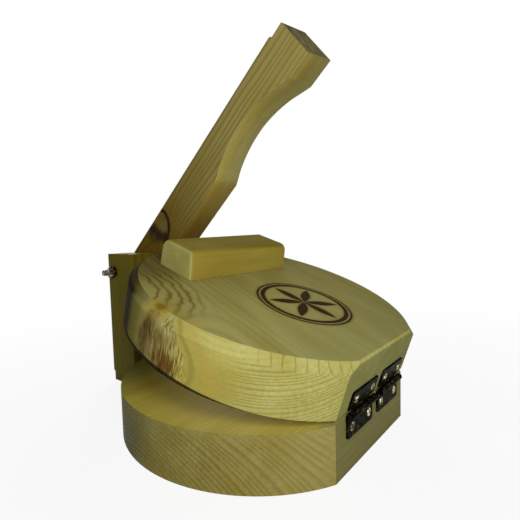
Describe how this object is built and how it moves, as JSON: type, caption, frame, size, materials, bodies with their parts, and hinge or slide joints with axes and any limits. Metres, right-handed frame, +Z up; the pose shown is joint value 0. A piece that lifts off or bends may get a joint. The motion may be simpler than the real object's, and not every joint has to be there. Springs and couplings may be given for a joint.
{
  "type": "tortilla press",
  "caption": "Wooden tortilla press: round base board, hinged round lid with a cross block, and a scooped lever pivoted between upright posts.",
  "frame": {"origin": "centre of the round base board, on its underside, at the level of the table", "axes": "+X from the lever's posts to the hinges, +Y along the hinge axis to the side of the bolt's head, +Z up"},
  "size_m": [0.3095, 0.2382, 0.317],
  "materials": {
    "pine_base": "sanded pine board, bare",
    "pine_post": "planed pine, bare",
    "pine_lid": "sanded pine board, bare",
    "pine_block": "sanded pine, bare",
    "pine_lever": "planed pine, bare",
    "zinc_steel": "zinc plated",
    "bronzed_steel": "dark bronze, satin",
    "screw_steel": "bright plated"
  },
  "bodies": {
    "base": {"base_board": "pine_base", "near_post": "pine_post", "far_post": "pine_post", "pivot_bolt": "zinc_steel", "pivot_nut": "zinc_steel", "near_hinge_base_leaf": "bronzed_steel", "near_hinge_pin": "bronzed_steel", "near_hinge_base_screws": "screw_steel", "far_hinge_base_leaf": "bronzed_steel", "far_hinge_pin": "bronzed_steel", "far_hinge_base_screws": "screw_steel"},
    "lid": {"lid_board": "pine_lid", "press_block": "pine_block", "near_hinge_lid_leaf": "bronzed_steel", "near_hinge_lid_screws": "screw_steel", "far_hinge_lid_leaf": "bronzed_steel", "far_hinge_lid_screws": "screw_steel"},
    "lever": {"lever": "pine_lever"}
  },
  "joints": [
    {"name": "lid_hinge", "type": "hinge", "parent": "base", "child": "lid", "pos_m": [0.10825, 0, 0.0391], "axis": [0, 1, 0], "range_deg": [-18.1, 148]},
    {"name": "lever_pivot", "type": "hinge", "parent": "base", "child": "lever", "pos_m": [-0.166, 0, 0.11955], "axis": [0, -1, 0], "range_deg": [0, 155]}
  ]
}
